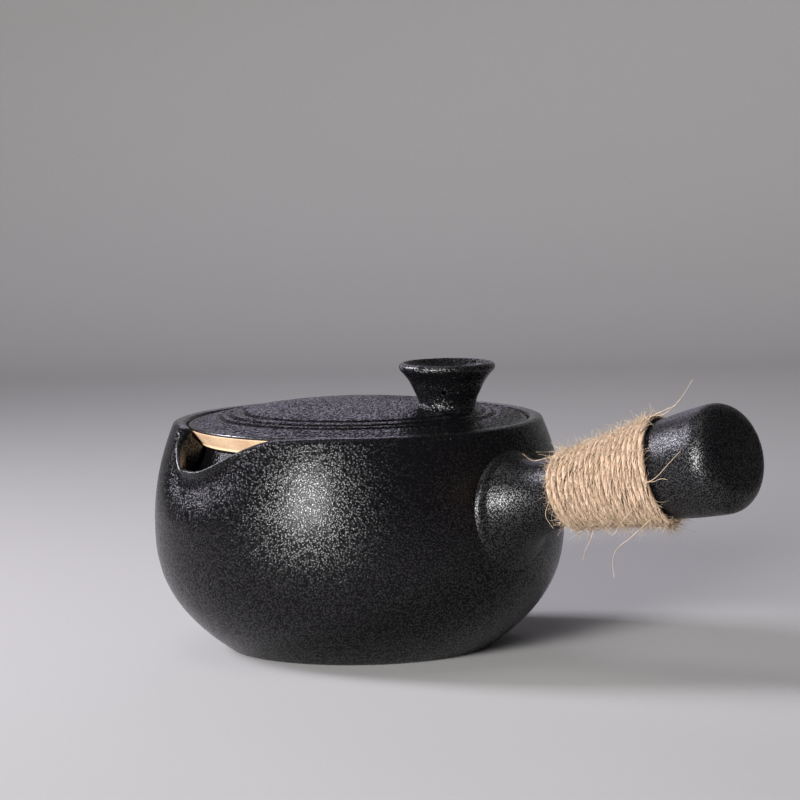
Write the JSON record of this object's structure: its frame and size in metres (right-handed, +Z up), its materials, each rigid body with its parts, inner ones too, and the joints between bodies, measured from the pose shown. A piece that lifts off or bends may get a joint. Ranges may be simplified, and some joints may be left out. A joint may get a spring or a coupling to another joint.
{
  "type": "side-handle teapot",
  "caption": "Round stoneware pouring pot with a side handle wound in twine, a pulled pour lip, an inner strainer and a loose lid with an off-centre knob.",
  "frame": {"origin": "centre of the flat base, on the surface the pot stands on", "axes": "+Z up along the pot's axis; +X horizontally along the side handle; the pour lip lies 107 degrees clockwise from the handle seen from above"},
  "size_m": [0.1737, 0.105, 0.0731],
  "materials": {
    "glazed_stoneware": "pebbly iron-black glaze, satin",
    "jute_twine": "hairy single-ply jute, matte"
  },
  "bodies": {
    "pot": {"pot_body": "glazed_stoneware", "strainer": "glazed_stoneware", "handle": "glazed_stoneware", "handle_twine": "jute_twine"},
    "lid": {"lid": "glazed_stoneware", "lid_knob": "glazed_stoneware"}
  },
  "joints": [
    {"name": "lid_lift", "type": "slide", "parent": "pot", "child": "lid", "axis": [0, 0, 1], "range_m": [0, 0.06]}
  ]
}
